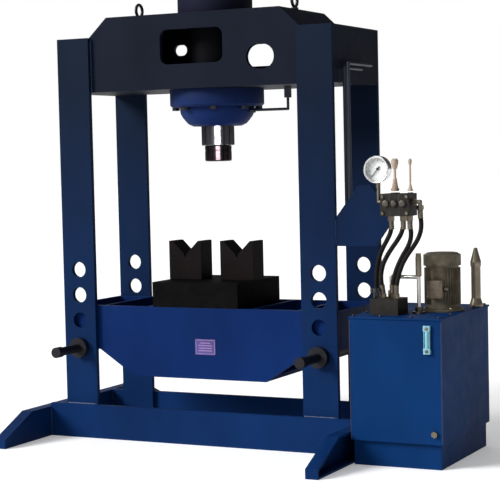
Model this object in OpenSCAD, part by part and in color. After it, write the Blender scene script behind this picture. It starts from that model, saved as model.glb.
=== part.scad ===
// Hydraulic shop press with its hydraulic power pack beside the right foot.
// Millimetres, +Z up. X runs to the right and Y to the back as an operator stands at the front.
// The floor is z = 0, and the origin is the centre of the whole machine's footprint.

/* [Frame] */
// Width over the uprights
frame_w = 1560; // [1500:10:1620]
// Depth over the front and rear uprights
frame_d = 595; // [585:5:615]
// Thickness of the frame plates
plate_t = 25; // [20:1:28]
// Width of each upright
upright_w = 190; // [180:5:200]
// Height of the uprights
upright_h = 2080; // [2060:10:2100]
// Height of the middle of the crown
crown_top_z = 2180; // [2160:10:2200]
// Height of the crown's lower edge
crown_low_z = 1800; // [1790:5:1810]

/* [Support pins] */
// Diameter of the holes in the uprights
pin_hole_d = 80; // [78:1:84]
// Diameter of the support pins
pin_d = 60; // [54:1:76]
// Height of the lowest pin hole
first_hole_z = 481; // [470:1:490]
// Distance from hole to hole
hole_pitch = 133; // [130:1:135]
// Length of the handle in front of the collar
handle_l = 205; // [180:5:260]

/* [Base] */
// Length of the two base beams
beam_l = 1730; // [1680:10:1760]
// Height of the front base beam
beam_h = 175; // [165:5:185]
// Height of the rear base beam
beam_rear_h = 157; // [150:1:175]
// Height of the feet
foot_h = 155; // [150:5:165]
// Width of each foot
foot_w = 65; // [60:1:75]
// Reach of the left foot in front of the press's middle
foot_left_front = 750; // [700:10:900]
// Reach of the right foot in front of the press's middle
foot_right_front = 890; // [700:10:900]
// Reach of both feet behind the press's middle
foot_back = 890; // [700:10:900]
// Plate thickness of the feet
foot_t = 12; // [10:1:14]

/* [Bed] */
// Height of the bed's top face
bed_top_z = 692; // [690:1:700]
// Depth of the bed's plates in the middle
bed_h = 362; // [350:1:375]
// Side of the square bolster block
bolster_w = 490; // [460:5:500]
// Height of the bolster block
bolster_h = 128; // [110:1:135]
// Width of a V-block
v_block_w = 190; // [180:2:200]
// Length of a V-block from front to back
v_block_l = 120; // [100:5:130]
// Height of a V-block
v_block_h = 201; // [190:1:205]
// Distance between the V-blocks' centres
v_block_gap = 300; // [290:2:304]

/* [Cylinder] */
// Outside diameter of the cylinder barrel
barrel_d = 300; // [290:2:306]
// Bore of the cylinder
bore_d = 240; // [220:2:246]
// Diameter of the mounting flange
flange_d = 487; // [470:1:492]
// Diameter of the gland and of the cylinder head
gland_d = 386; // [366:2:388]
// Diameter of the ram
ram_d = 170; // [150:2:180]
// Diameter of the ram's nose
nose_d = 138; // [120:2:150]
// Height of the nose's lower face with the ram at rest
nose_z = 1430; // [1420:5:1440]

/* [Power pack] */
// Width of the oil tank
tank_w = 448; // [420:2:450]
// Depth of the oil tank
tank_l = 690; // [650:5:700]
// Height of the tank's top
tank_top_z = 690; // [680:5:700]
// Height of the plinth under the tank
plinth_h = 120; // [100:5:140]
// Outside diameter of the motor's case
motor_d = 172; // [160:2:180]
// Diameter of the hoses
hose_d = 22; // [18:1:24]

/* [Hidden] */
$fn = 64;

// Frame
half_w = frame_w / 2;
front_y = -frame_d / 2;              // front face of the front uprights
inner_y = frame_d / 2 - plate_t;     // inner faces of the front and rear uprights, as a distance from y = 0
upright_x = half_w - upright_w / 2;  // centre line of an upright
crown_t = 20;                        // thickness of the crown's cheeks
crown_in_y = inner_y - plate_t;      // inner faces of the crown's front and rear plates
crown_half_top = 493;                // half the width of the crown's flat top
crown_shoulder_x = 600;              // where the slope of the crown meets the uprights
window_w = 355;
window_z = 2012;
window_h = 175;
hole_count = 4;
first_pin_z = first_hole_z - (pin_hole_d - pin_d) / 2;  // a loaded pin lies in the bottom of its hole

// Base
beam_half = beam_l / 2;
foot_nose_h = 45;   // height of a foot's upright end
foot_slope_l = 250; // length of the sloping part at each end
anchor_y = 560;
anchor_d = 18;
anchor_in = 38;     // from a foot's inner face to its anchor holes

// Bed
bed_plate_t = 30;
bed_clear = 2;                                // side play between the bed and the uprights
bed_out_y = inner_y - bed_clear;
bed_low_z = bed_top_z - bed_h;
seat_h = 50;
seat_w = 90;
bed_end_z = first_pin_z + pin_d / 2 + 0.5;    // lower edge of the bed's ends
bed_half_w = half_w - 4;
bed_flat = 380;                               // half the length of the deep middle
bed_end_x = 640;                              // where the slope meets the bed's ends
bolster_top_z = bed_top_z + bolster_h;
v_groove_w = 150;
block_off = [-15, -25];                        // the blocks stand a little off the bed's centre

// Cylinder
flange_z = 1710;                      // lower face of the mounting flange
rod_port_z = 1688;                    // oil port of the rod side, in the gland
gland_low_z = 1612;
gland_nose_d = 250;
barrel_top_z = 2240;
head_top_z = 2360;
piston_z = 2045;
piston_h = 70;
nose_h = 81;
nose_top_z = nose_z + nose_h;
ram_play = 0.3;                       // radial play of the ram and of the piston
flange_bolts = 8;
flange_bolt_r = 215;
head_bolt_r = 152;

// Valve station on the right of the frame
bracket_t = 12;
bracket_y = -291;                     // front face of the bracket
valve = [1055, -401, 1160];           // lowest corner of the valve body
valve_size = [142, 110, 105];
valve_y = -346;                       // middle of the valve
valve_right = valve[0] + valve_size[0];
valve_top = valve[2] + valve_size[2];
lever_pivot = [1110, valve_y, 1284];
approach_pivot = [1186, valve_y, 1280];
pipe_ports = [1082, 1124];            // pipe ports in the valve's back
pipe_port_z = 1212;
pipe_d = 18;                          // pipes between the cylinder and the valve
hose_ports = [1088, 1148, 1181];      // hose ports under the valve
port_d = 14;                          // bore of a port
stub_d = 13.6;                        // threaded end of a fitting
supply_port_z = 1225;
gauge_y = -303;                       // line of the gauge's stem
gauge_port_z = 1225;
gauge_c = [1008, -304, 1380];         // centre of the gauge's case
gauge_d = 122;
gauge_t = 46;

// Power pack
tank_x = 942;
tank_y = -527;
tank_wall = 5;
plinth_right = 15;                    // how far the plinth stands back on the right, in front and behind
plinth_front = 30;
plinth_rear = 10;
lid_t = 10;
lid_over = 5;
lid_z = tank_top_z + lid_t;           // top of the lid
motor_c = [1274, -170];               // plan position of the motor
motor_h = 218;
motor_flange_t = 12;
manifold_low = [1010, -440, lid_z];
manifold_size = [140, 132, 75];
manifold_top = lid_z + manifold_size[2];
outlet_c = [1212, -325];              // plan position of the pump's outlet on the lid
inlet_c = [1075, -325];               // where the outlet pipe enters the manifold
outlet_z = 872;                       // height of the outlet pipe's arch
filler_c = [1360, 70];                // plan position of the oil filler
filler_h = 195;
relief_c = [1029, -421];              // plan position of the relief valve's knob
gap = 0.5;                            // play around bolts and studs

// The machine's footprint is centred on the origin
foot_out = beam_half + foot_w;
pack_out = tank_x + tank_w + lid_over;
centre_x = (foot_out - pack_out) / 2;

// Centre lines of the free hoses
supply_path = [
    [1233, -346, 1188], [1234, -346, 1160], [1238, -349, 1124], [1237, -356, 1088], [1226, -365, 1052],
    [1207, -374, 1018], [1184, -382, 984], [1162, -390, 945], [1147, -396, 905], [1137, -401, 865],
    [1131, -404, 828], [1130, -405, 798],
];
lift_path = [
    [1181, -346, 1136], [1182, -346, 1112], [1185, -344, 1080], [1180, -342, 1045], [1165, -343, 1010],
    [1144, -347, 975], [1126, -353, 938], [1112, -360, 900], [1102, -367, 860], [1098, -371, 825],
    [1098, -372, 798],
];
return_path = [
    [1148, -346, 1136], [1147, -346, 1112], [1139, -349, 1080], [1120, -355, 1045], [1096, -362, 1010],
    [1073, -370, 972], [1056, -378, 932], [1049, -386, 892], [1051, -393, 855], [1058, -397, 823],
    [1062, -398, 798],
];
drain_path = [
    [1088, -346, 1136], [1088, -346, 1112], [1082, -344, 1082], [1065, -339, 1050], [1043, -333, 1016],
    [1022, -326, 978], [1007, -320, 935], [998, -315, 890], [994, -311, 845], [994, -310, 800],
    [994, -310, 758],
];
hose_stand = 23;                      // height of the fitting under a hose's lower end
drain_c = [994, -310];

paint = [0.06, 0.22, 0.45];
paint_dark = [0.09, 0.13, 0.24];
steel = [0.7, 0.7, 0.72];
black = [0.1, 0.1, 0.1];
iron = [0.3, 0.3, 0.3];
brass = [0.72, 0.6, 0.3];

// Box between two opposite corners
module box(a, b) translate(a) cube(b - a);

// Cylinders that start at p and run h along one axis
module rod_x(p, d, h) translate(p) rotate([0, 90, 0]) cylinder(d = d, h = h);
module rod_y(p, d, h) translate(p) rotate([-90, 0, 0]) cylinder(d = d, h = h);
module rod_z(p, d, h) translate(p) cylinder(d = d, h = h);

// Flat plate from an outline in X and Z, between y and y + t
module plate_xz(y, t) translate([0, y + t, 0]) rotate([90, 0, 0]) linear_extrude(t) children();

// Flat plate from an outline in Y and Z, between x and x + t
module plate_yz(x, t) translate([x, 0, 0]) rotate([90, 0, 90]) linear_extrude(t) children();

// Moves a shape from the press's own centre to the footprint's centre
module placed() translate([centre_x, 0, 0]) children();

// Puts a shape on the tank's lid at a plan position, up above the lid
module on_tank(c, up = 0) placed() translate([c[0], c[1], lid_z + up]) children();

// Puts a shape on the right with s = 1, or mirrored on the left with s = -1
module side(s) mirror([s < 0 ? 1 : 0, 0, 0]) children();

// Rectangle with round corners, centred
module rounded(w, h, r) {
    square([w - 2 * r, h], center = true);
    square([w, h - 2 * r], center = true);
    for (x = [-1, 1], y = [-1, 1]) translate([x * (w / 2 - r), y * (h / 2 - r)]) circle(r);
}

// Hexagon head or nut standing on z = 0
module hexagon(across, h) rotate([0, 0, 30]) cylinder(d = across / cos(30), h = h, $fn = 6);

// Rigid pipe along straight runs, with ball corners
module pipe(points, d) {
    for (i = [0 : len(points) - 2]) {
        run = points[i + 1] - points[i];
        reach = norm(run);
        turn = [0, acos(run[2] / reach), atan2(run[1], run[0])];
        translate(points[i]) rotate(turn) cylinder(d = d, h = reach);
    }
    for (i = [1 : 1 : len(points) - 2]) translate(points[i]) sphere(d = d);
}

// Upright: s is the side and f is -1 at the front or 1 at the back
module upright(s, f) side(s) difference() {
    y = f < 0 ? front_y : inner_y;
    box([half_w - upright_w, y, 0], [half_w, y + plate_t, upright_h]);
    for (i = [0 : hole_count - 1])
        rod_y([upright_x, y - 1, first_hole_z + i * hole_pitch], pin_hole_d, plate_t + 2);
}
module upright_front_left() color(paint) placed() upright(-1, -1);
module upright_front_right() color(paint) placed() upright(1, -1);
module upright_rear_left() color(paint) placed() upright(-1, 1);
module upright_rear_right() color(paint) placed() upright(1, 1);

// Outline of the crown's front and rear plates with their window
module crown_outline() difference() {
    polygon([
        [-half_w, crown_low_z], [half_w, crown_low_z], [half_w, upright_h], [crown_shoulder_x, upright_h],
        [crown_half_top, crown_top_z], [-crown_half_top, crown_top_z], [-crown_shoulder_x, upright_h],
        [-half_w, upright_h],
    ]);
    translate([0, window_z]) rounded(window_w, window_h, 40);
}

// The front plate has an inspection slot on the right
module crown_front_plate() color(paint_dark) placed() plate_xz(-inner_y, plate_t) difference() {
    crown_outline();
    translate([384, 1942]) rounded(150, 120, 59.9);
}

// The rear plate has a wider window, and a slot for pipework
module crown_rear_plate() color(paint_dark) placed() plate_xz(crown_in_y, plate_t) difference() {
    crown_outline();
    translate([46, window_z]) rounded(window_w, window_h, 40);
    translate([-346, 2030]) rounded(80, 58, 28.9);
}

module crown_top_plate() color(paint_dark) placed() difference() {
    box([-crown_half_top, -crown_in_y, crown_top_z - plate_t], [crown_half_top, crown_in_y, crown_top_z]);
    rod_z([0, 0, crown_top_z - plate_t - 1], barrel_d + 2 * gap, plate_t + 2);
    for (s = [-1, 1]) rod_z([s * 452, 0, crown_top_z - plate_t - 1], 21, plate_t + 2);
    rod_z([-200, 225, crown_top_z - plate_t - 1], pipe_d + 2, plate_t + 2);
}

// The lower plate carries the cylinder's flange
module crown_bottom_plate() color(paint_dark) placed() difference() {
    box([crown_t - half_w, -crown_in_y, crown_low_z], [half_w - crown_t, crown_in_y, crown_low_z + plate_t]);
    rod_z([0, 0, crown_low_z - 1], barrel_d + 2 * gap, plate_t + 2);
    for (a = [0 : flange_bolts - 1]) rotate(a * 45 + 22.5)
        rod_z([flange_bolt_r, 0, crown_low_z - 1], 25, plate_t + 2);
    rod_z([404, 0, crown_low_z - 1], pipe_d + 2, plate_t + 2);
}

// Folded plate that closes one end of the crown: wall, flat shoulder and slope
module crown_cheek(s) side(s) difference() {
    plate_xz(-crown_in_y, 2 * crown_in_y) polygon([
        [half_w, crown_low_z], [half_w, upright_h], [crown_shoulder_x, upright_h],
        [crown_half_top, crown_top_z], [crown_half_top, crown_top_z - 28],
        [crown_shoulder_x - 8, upright_h - crown_t], [half_w - crown_t, upright_h - crown_t],
        [half_w - crown_t, crown_low_z],
    ]);
    if (s > 0) for (c = [[0, 1870], [60, 1890]])
        rod_x([half_w - crown_t - 1, c[0], c[1]], pipe_d + 2, crown_t + 2);
}
module crown_cheek_left() color(paint_dark) placed() crown_cheek(-1);
module crown_cheek_right() color(paint_dark) placed() crown_cheek(1);

// Eyebolts for lifting, with their nuts inside the crown
module lifting_eyebolts() color(iron) placed() for (s = [-1, 1]) translate([s * 452, 0, crown_top_z]) {
    rod_z([0, 0, 0], 38, 14);
    translate([0, 0, 50]) rotate([0, 90, 0]) rotate_extrude() translate([32, 0]) circle(d = 16);
    rod_z([0, 0, 10], 22, 16);
    rod_z([0, 0, -plate_t - 22], 20, 30);
    translate([0, 0, -plate_t - 18]) hexagon(30, 18);
}

// Base beams on the outside of the uprights, from foot to foot
module base_beam_front() color(paint) placed()
    box([-beam_half, front_y - plate_t, 0], [beam_half, front_y, beam_h]);
module base_beam_rear() color(paint) placed()
    box([-beam_half, -front_y, 0], [beam_half, plate_t - front_y, beam_rear_h]);

// Side view of a foot that reaches this far to the front, inset by t
module foot_outline(front, t) {
    fall = (foot_h - foot_nose_h) / foot_slope_l;
    drop = t * sqrt(1 + fall * fall);
    top = foot_h - t;
    run = (top + drop - foot_nose_h) / fall;
    nose_top = foot_nose_h + t * fall - drop;
    polygon([
        [t - front, t], [foot_back - t, t], [foot_back - t, nose_top], [foot_back - run, top],
        [run - front, top], [t - front, nose_top],
    ]);
}

// Channel that is open to the outside, with an anchor hole near each end
module foot(s, front) side(s) difference() {
    plate_yz(beam_half, foot_w) foot_outline(front, 0);
    plate_yz(beam_half + foot_t, foot_w) foot_outline(front, foot_t);
    for (y = [-1, 1]) rod_z([beam_half + anchor_in, y * anchor_y, -1], anchor_d, foot_t + 2);
}
module foot_left() color(paint_dark) placed() foot(-1, foot_left_front);
module foot_right() color(paint_dark) placed() foot(1, foot_right_front);

// Side plates of the bed: deep in the middle, shallow where they rest on the pins
module bed_outline() polygon([
    [-bed_half_w, bed_top_z], [-bed_half_w, bed_end_z], [-bed_end_x, bed_end_z], [-bed_flat, bed_low_z],
    [bed_flat, bed_low_z], [bed_end_x, bed_end_z], [bed_half_w, bed_end_z], [bed_half_w, bed_top_z],
]);
module bed_front_plate() color(paint) placed() plate_xz(-bed_out_y, bed_plate_t) bed_outline();
module bed_rear_plate() color(paint) placed() plate_xz(bed_out_y - bed_plate_t, bed_plate_t) bed_outline();

// Plates inside the bed: cross plates, closed ends and the bottom of the deep middle
module bed_cross_members() color(paint) placed() {
    y = bed_out_y - bed_plate_t;
    for (x = [-300, -100, 100, 300]) box([x - 12, -y, bed_low_z], [x + 12, y, bed_top_z]);
    for (x = [-560, 560]) box([x - 12, -y, bed_end_z], [x + 12, y, bed_top_z]);
    for (s = [-1, 1]) side(s) box([bed_half_w - 12, -y, bed_end_z], [bed_half_w, y, bed_top_z]);
    box([-bed_flat, -y, bed_low_z], [bed_flat, y, bed_low_z + 20]);
}

// Steel pads inside the bed's ends that widen its seat on the pins
module bed_seats() color(steel) placed() for (s = [-1, 1], f = [-1, 1]) side(s) {
    y = f < 0 ? bed_plate_t - bed_out_y : bed_out_y - bed_plate_t - seat_h;
    box([upright_x - seat_w / 2, y, bed_end_z], [upright_x + seat_w / 2, y + seat_h, bed_end_z + seat_h]);
}

module bed_nameplate() color("silver") placed() difference() {
    box([-16, -bed_out_y - 3, 455], [100, -bed_out_y, 535]);
    for (x = [-10, 94], z = [461, 529]) rod_y([x, -bed_out_y - 4, z], 4, 2);
}

// Solid block that spreads the load over the bed
module bolster_block() color(black) placed() translate(block_off)
    box([-bolster_w / 2, -bolster_w / 2, bed_top_z], [bolster_w / 2, bolster_w / 2, bolster_top_z]);

// Block with a 90-degree groove along Y
module v_block(s) translate(block_off) plate_xz(-v_block_l / 2, v_block_l) difference() {
    x = s * v_block_gap / 2;
    top = bolster_top_z + v_block_h;
    low = top - v_groove_w / 2 - 8;  // bottom of the relief slot under the groove
    translate([x - v_block_w / 2, bolster_top_z]) square([v_block_w, v_block_h]);
    polygon([
        [x - v_groove_w / 2 - 1, top + 1], [x - 4, low + 12], [x - 4, low], [x + 4, low], [x + 4, low + 12],
        [x + v_groove_w / 2 + 1, top + 1],
    ]);
}
module v_block_left() color(black) placed() v_block(-1);
module v_block_right() color(black) placed() v_block(1);

// Round bar through both uprights, with a stop collar and a slimmer handle in front
module support_pin(s) {
    x = s * upright_x;
    handle_y = front_y - 34 - handle_l;
    rod_y([x, front_y - 12, first_pin_z], pin_d, frame_d + 42);
    rod_y([x, front_y - 34, first_pin_z], 104, 30);
    rod_y([x, handle_y, first_pin_z], 44, handle_l + 10);
    rod_y([x, handle_y, first_pin_z], 54, 46);
}
module support_pin_left() color(iron) placed() support_pin(-1);
module support_pin_right() color(iron) placed() support_pin(1);

// Cylinder tube
module cylinder_barrel() color(paint_dark) placed() difference() {
    rod_z([0, 0, flange_z], barrel_d, barrel_top_z - flange_z);
    rod_z([0, 0, flange_z - 1], bore_d, barrel_top_z - flange_z + 2);
}

// Ring that hangs the cylinder under the crown
module cylinder_flange() color(paint) placed() difference() {
    union() {
        rod_z([0, 0, flange_z + 12], flange_d, crown_low_z - flange_z - 12);
        translate([0, 0, flange_z]) cylinder(d1 = flange_d - 24, d2 = flange_d, h = 12);
    }
    rod_z([0, 0, flange_z - 1], barrel_d + 2 * gap, crown_low_z - flange_z + 2);
    for (a = [0 : flange_bolts - 1]) rotate(a * 45 + 22.5)
        rod_z([flange_bolt_r, 0, flange_z - 1], 25, crown_low_z - flange_z + 2);
}

// Gland with the ram's bearing, rounded towards its lower end
module cylinder_gland() color(paint) placed() difference() {
    rotate_extrude() polygon([
        [0, gland_low_z], [gland_nose_d / 2, gland_low_z], [gland_nose_d / 2 + 26, gland_low_z + 12],
        [gland_d / 2 - 27, gland_low_z + 29], [gland_d / 2 - 12, gland_low_z + 48],
        [gland_d / 2 - 3, gland_low_z + 66], [gland_d / 2, gland_low_z + 84], [gland_d / 2, flange_z],
        [bore_d / 2 - 0.2, flange_z],
        [bore_d / 2 - 0.2, flange_z + 40], [0, flange_z + 40],
    ]);
    rod_z([0, 0, gland_low_z - 1], ram_d + 2 * ram_play, 200);
    rod_z([0, 0, gland_low_z - 1], ram_d + 26, 11);
    rod_x([gland_d / 2 - 22, 0, rod_port_z], 14, 30);
}

// Cap on the barrel's upper end, above the crown
module cylinder_head() color(paint) placed() difference() {
    union() {
        rod_z([0, 0, crown_top_z], gland_d, head_top_z - crown_top_z - 14);
        translate([0, 0, head_top_z - 14]) cylinder(d1 = gland_d, d2 = gland_d - 28, h = 14);
    }
    rod_z([0, 0, crown_top_z - 1], barrel_d, barrel_top_z - crown_top_z + 1);
    for (a = [0 : flange_bolts - 1]) rotate(a * 45)
        rod_z([head_bolt_r, 0, head_top_z - 60], 25, 61);
    rod_y([0, gland_d / 2 - 30, 2300], 14, 40);
}

// Hexagon bolts through the flange, and bolts in the head
module cylinder_bolts() color(iron) placed() {
    for (a = [0 : flange_bolts - 1]) rotate(a * 45 + 22.5) translate([flange_bolt_r, 0, flange_z]) {
        translate([0, 0, -15]) hexagon(36, 15);
        rod_z([0, 0, -5], 24, crown_low_z + plate_t + 30 - flange_z);
        translate([0, 0, crown_low_z + plate_t - flange_z]) hexagon(36, 19);
    }
    for (a = [0 : flange_bolts - 1]) rotate(a * 45) translate([head_bolt_r, 0, head_top_z]) {
        hexagon(36, 15);
        rod_z([0, 0, -50], 24, 55);
    }
}

module rod_wiper() color(black) placed() difference() {
    rod_z([0, 0, gland_low_z], ram_d + 26, 10);
    rod_z([0, 0, gland_low_z - 1], ram_d + 2 * ram_play, 12);
}

// Piston on the ram's upper spigot, with grooves for its seals
module piston() color(steel) placed() difference() {
    rod_z([0, 0, piston_z], bore_d - 2 * ram_play, piston_h);
    for (z = [12, 48]) translate([0, 0, piston_z + z]) difference() {
        cylinder(d = bore_d + 10, h = 10);
        translate([0, 0, -1]) cylinder(d = bore_d - 16, h = 12);
    }
    rod_z([0, 0, piston_z - 1], 100, piston_h + 2);
}

module ram_rod() color("lightgray") placed() {
    rod_z([0, 0, nose_top_z], ram_d, piston_z - nose_top_z);
    rod_z([0, 0, piston_z - 1], 100, piston_h + 1);
}

// Hard pressure piece on the ram's end
module ram_nose() color(black) placed() difference() {
    union() {
        rod_z([0, 0, nose_z + 6], nose_d, nose_h - 6);
        translate([0, 0, nose_z]) cylinder(d1 = nose_d - 12, d2 = nose_d, h = 6);
    }
    rod_z([0, 0, nose_z - 1], 22, 26);
}

// Rigid pipes: two from the cylinder's ports to the valve, and the pump's outlet to the manifold
module rigid_pipes() color(steel) placed() {
    port_out = gland_d / 2 + 23;
    pipe([[port_out, 0, rod_port_z], [404, 0, rod_port_z], [404, 0, 1745]], 14);
    pipe([
        [404, 0, crown_low_z], [404, 0, 1870], [806, 0, 1870], [806, -211, 1870], [806, -211, pipe_port_z],
        [pipe_ports[1], -211, pipe_port_z], [pipe_ports[1], -276, pipe_port_z],
    ], pipe_d);
    pipe([
        [0, port_out, 2300], [0, 225, 2300], [-200, 225, 2300], [-200, 225, 1890], [500, 225, 1890],
        [500, 60, 1890], [834, 60, 1890], [834, -230, 1890], [834, -230, pipe_port_z],
        [pipe_ports[0], -230, pipe_port_z], [pipe_ports[0], -276, pipe_port_z],
    ], pipe_d);
    pipe([
        [outlet_c[0], outlet_c[1], lid_z + 32], [outlet_c[0], outlet_c[1], outlet_z],
        [inlet_c[0], inlet_c[1], outlet_z], [inlet_c[0], inlet_c[1], manifold_top + 32],
    ], 18);
}

// Plate welded to the edge of the front right upright
module valve_bracket() color(paint_dark) placed() difference() {
    plate_xz(bracket_y, bracket_t) polygon([
        [half_w, 1012], [half_w, 1150], [900, 1302], [960, 1306], [1010, 1246], [1160, 1246], [1160, 1182],
        [1085, 1165], [1065, 1120], [985, 1012],
    ]);
    for (x = pipe_ports) rod_y([x, bracket_y - 1, pipe_port_z], 26, bracket_t + 2);
}

// Lever-operated directional valve
module valve_body() color([0.28, 0.27, 0.22]) placed() difference() {
    union() {
        box(valve, [valve_right, valve[1] + valve_size[1], valve_top]);
        rod_z([lever_pivot[0], valve_y, valve_top], 44, 4);
        rod_z([approach_pivot[0], valve_y, valve_top], 26, 4);
    }
    rod_x([valve_right - 20, valve_y, supply_port_z], port_d, 30);
    for (x = hose_ports) rod_z([x, valve_y, valve[2] - 1], port_d, 21);
    rod_x([valve[0] - 1, gauge_y, gauge_port_z], 10, 20);
    for (x = pipe_ports) rod_y([x, bracket_y - 20, pipe_port_z], port_d, 30);
}

// Hand lever in a cone-shaped boot, tipping about X
module valve_lever() color(steel) placed() translate(lever_pivot) {
    translate([0, 0, -8]) cylinder(d1 = 38, d2 = 17, h = 59);
    cylinder(d = 12, h = 118);
    rod_x([-21, 0, 0], 9, 42);
}
module lever_knob() color([0.66, 0.58, 0.5]) placed() translate(lever_pivot) difference() {
    union() {
        translate([0, 0, 96]) cylinder(d1 = 20, d2 = 34, h = 26);
        translate([0, 0, 122]) cylinder(d = 34, h = 14);
        translate([0, 0, 136]) cylinder(d1 = 34, d2 = 20, h = 8);
    }
    translate([0, 0, 95]) cylinder(d = 12, h = 23);
}

// Slim lever beside it, also tipping about X
module approach_lever() color([0.66, 0.6, 0.55]) placed() translate(approach_pivot) {
    translate([0, 0, -5]) cylinder(d1 = 24, d2 = 12, h = 30);
    rod_x([-14, 0, 0], 7, 28);
    cylinder(d = 9, h = 130);
    translate([0, 0, 118]) cylinder(d1 = 12, d2 = 18, h = 18);
    translate([0, 0, 136]) cylinder(d1 = 18, d2 = 10, h = 10);
}

// Threaded fittings and elbows at the ports, and the tank's drain plug
module hydraulic_fittings() color(brass) placed() {
    // cylinder ports, and the block under the crown that joins the lower pipe to the wider one
    rod_x([gland_d / 2 - 20, 0, rod_port_z], stub_d, 30);
    translate([gland_d / 2 + 1, 0, rod_port_z]) rotate([0, 90, 0]) hexagon(27, 22);
    rod_y([0, gland_d / 2 - 28, 2300], stub_d, 34);
    translate([0, gland_d / 2 + 1, 2300]) rotate([-90, 0, 0]) hexagon(27, 22);
    difference() {
        box([390, -14, 1745], [418, 14, crown_low_z]);
        rod_z([404, 0, 1744], 10, 60);
    }
    // pipe ports at the back of the valve
    for (x = pipe_ports) {
        rod_y([x, bracket_y - 18, pipe_port_z], stub_d, 22);
        rod_y([x, bracket_y, pipe_port_z], 24, 15);
    }
    // elbow of the supply hose
    rod_x([valve_right - 18, valve_y, supply_port_z], stub_d, 24);
    translate([valve_right, valve_y, supply_port_z]) rotate([0, 90, 0]) hexagon(27, 16);
    elbow = supply_path[0];
    pipe([
        [valve_right + 16, valve_y, supply_port_z], [elbow[0], valve_y, supply_port_z], elbow + [0, 0, 18],
    ], 20);
    translate(elbow) hexagon(30, 20);
    // hose ports under the valve
    for (x = hose_ports) {
        rod_z([x, valve_y, valve[2] - 12], stub_d, 30);
        translate([x, valve_y, valve[2] - 24]) hexagon(27, 24);
    }
    // gauge stem and elbow
    stem_z = gauge_c[2] - gauge_d / 2;
    rod_x([valve[0] - 14, gauge_y, gauge_port_z], 9.6, 30);
    pipe([
        [valve[0] - 12, gauge_y, gauge_port_z], [gauge_c[0], gauge_y, gauge_port_z],
        [gauge_c[0], gauge_y, stem_z - 4],
    ], 16);
    rod_z([gauge_c[0], gauge_y, stem_z - 26], 22, 22);
    // hose ends on the manifold and on the lid
    for (path = [supply_path, lift_path, return_path]) {
        end = path[len(path) - 1];
        translate([end[0], end[1], manifold_top]) hexagon(27, hose_stand);
    }
    translate([drain_c[0], drain_c[1], lid_z]) {
        hexagon(27, 28);
        cylinder(d = 26, h = 58);
    }
    // foot and tee of the pump's outlet pipe, with a capped test branch, and its nut on the manifold
    translate([outlet_c[0], outlet_c[1], lid_z]) {
        cylinder(d = 60, h = 10);
        hexagon(32, 32);
    }
    translate([outlet_c[0], outlet_c[1], outlet_z]) {
        difference() {
            translate([0, 0, 4]) cylinder(d = 28, h = 91);
            sphere(d = 18);
            rotate([0, -90, 0]) cylinder(d = 18, h = 20);
        }
        translate([0, 0, 95]) hexagon(22, 16);
    }
    translate([inlet_c[0], inlet_c[1], manifold_top]) hexagon(30, 32);
    // drain plug low on the tank's front
    translate([1356, tank_y - 16, 170]) rotate([-90, 0, 0]) hexagon(27, 16);
}

// Pressure gauge: open case, dial, needle and lens
module gauge_case() color([0.8, 0.8, 0.8]) placed() translate(gauge_c) {
    difference() {
        rod_y([0, -gauge_t / 2, 0], gauge_d, gauge_t);
        rod_y([0, -gauge_t / 2 - 1, 0], gauge_d - 10, 27);
    }
    translate([0, gauge_y - gauge_c[1], -gauge_d / 2 - 4]) cylinder(d = 14, h = 5);
}
module gauge_dial() color("white") placed() translate(gauge_c) difference() {
    rod_y([0, 1, 0], gauge_d - 11, 2);
    rod_y([0, 0, 0], 5, 4);
}
module gauge_needle() color(black) placed() translate(gauge_c) {
    rod_y([0, -6, 0], 14, 4);
    rod_y([0, -3, 0], 4, 5);
    rotate([0, -140, 0]) box([-2, -5, 0], [2, -3, 48]);
    rotate([0, 40, 0]) box([-3, -5, 0], [3, -3, 16]);
}
module gauge_lens() color([0.8, 0.9, 1, 0.4]) placed() translate(gauge_c)
    rod_y([0, -14, 0], gauge_d - 11, 3);

// Welded oil tank on a plinth
module tank() color(paint) placed() difference() {
    low = [tank_x, tank_y + plinth_front, 0];
    high = [tank_x + tank_w - plinth_right, tank_y + tank_l - plinth_rear, plinth_h];
    wall = [tank_wall, tank_wall, 0];
    union() {
        box([tank_x, tank_y, plinth_h], [tank_x + tank_w, tank_y + tank_l, tank_top_z]);
        box(low, high + [0, 0, 1]);
    }
    box([tank_x + tank_wall, tank_y + tank_wall, plinth_h + tank_wall],
        [tank_x + tank_w - tank_wall, tank_y + tank_l - tank_wall, tank_top_z + 1]);
    box(low + wall - [0, 0, 1], high - wall);
}

module tank_lid() color(paint) placed() difference() {
    box([tank_x - lid_over, tank_y - lid_over, tank_top_z],
        [tank_x + tank_w + lid_over, tank_y + tank_l + lid_over, lid_z]);
    rod_z([motor_c[0], motor_c[1], tank_top_z - 1], 40, lid_t + 2);
    rod_z([filler_c[0], filler_c[1], tank_top_z - 1], 40, lid_t + 2);
}

// Sight glass between two end blocks
module level_gauge() color([0.5, 0.76, 0.83]) placed() translate([1326, tank_y, 0]) {
    for (z = [538, 644]) box([-16, -18, z], [16, 0, z + 24]);
    box([-14, -14, 562], [14, -2, 644]);
}

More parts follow.
